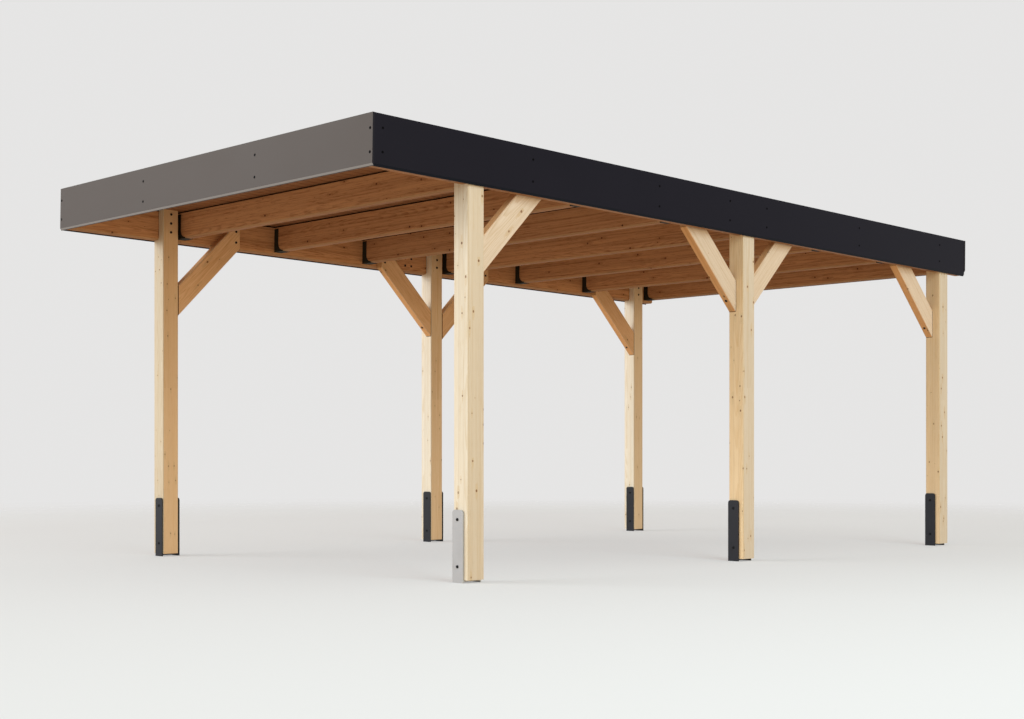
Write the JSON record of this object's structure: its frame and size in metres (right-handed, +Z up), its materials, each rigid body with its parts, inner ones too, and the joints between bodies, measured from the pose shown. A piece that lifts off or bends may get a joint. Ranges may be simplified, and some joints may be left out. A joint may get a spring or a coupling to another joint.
{
  "type": "carport",
  "caption": "Single flat-roofed carport: glulam posts on steel anchors, braced side purlins, rafters in joist hangers and a smooth fascia all round.",
  "frame": {"origin": "centre of the roof's footprint, on the ground", "axes": "+Z up, +Y from the entry to the back along the carport's length, +X to the right seen from the entry"},
  "size_m": [3.153, 5.7016, 2.3726],
  "materials": {
    "timber": "satin",
    "roof_boards": "matte",
    "anchor_steel": "satin",
    "hanger_steel": "satin",
    "fascia_panel": "satin",
    "membrane": "matte"
  },
  "bodies": {
    "root": {"anchor_back_left": "anchor_steel", "anchor_back_right": "anchor_steel", "anchor_front_left": "anchor_steel", "anchor_front_right": "anchor_steel", "anchor_middle_left": "anchor_steel", "anchor_middle_right": "anchor_steel", "brace_back_forward_left": "timber", "brace_back_forward_right": "timber", "brace_front_rearward_left": "timber", "brace_front_rearward_right": "timber", "brace_middle_forward_left": "timber", "brace_middle_forward_right": "timber", "brace_middle_rearward_left": "timber", "brace_middle_rearward_right": "timber", "fascia_back": "fascia_panel", "fascia_front": "fascia_panel", "fascia_left": "fascia_panel", "fascia_right": "fascia_panel", "hangers_left": "hanger_steel", "hangers_right": "hanger_steel", "kerb_back": "timber", "kerb_front": "timber", "kerb_left": "timber", "kerb_right": "timber", "post_back_left": "timber", "post_back_right": "timber", "post_front_left": "timber", "post_front_right": "timber", "post_middle_left": "timber", "post_middle_right": "timber", "purlin_back_left": "timber", "purlin_back_right": "timber", "purlin_front_left": "timber", "purlin_front_right": "timber", "rafter_1": "timber", "rafter_2": "timber", "rafter_3": "timber", "rafter_4": "timber", "rafter_5": "timber", "rafter_6": "timber", "rafter_7": "timber", "rafter_8": "timber", "roof_deck": "roof_boards", "roof_membrane": "membrane"}
  },
  "joints": []
}
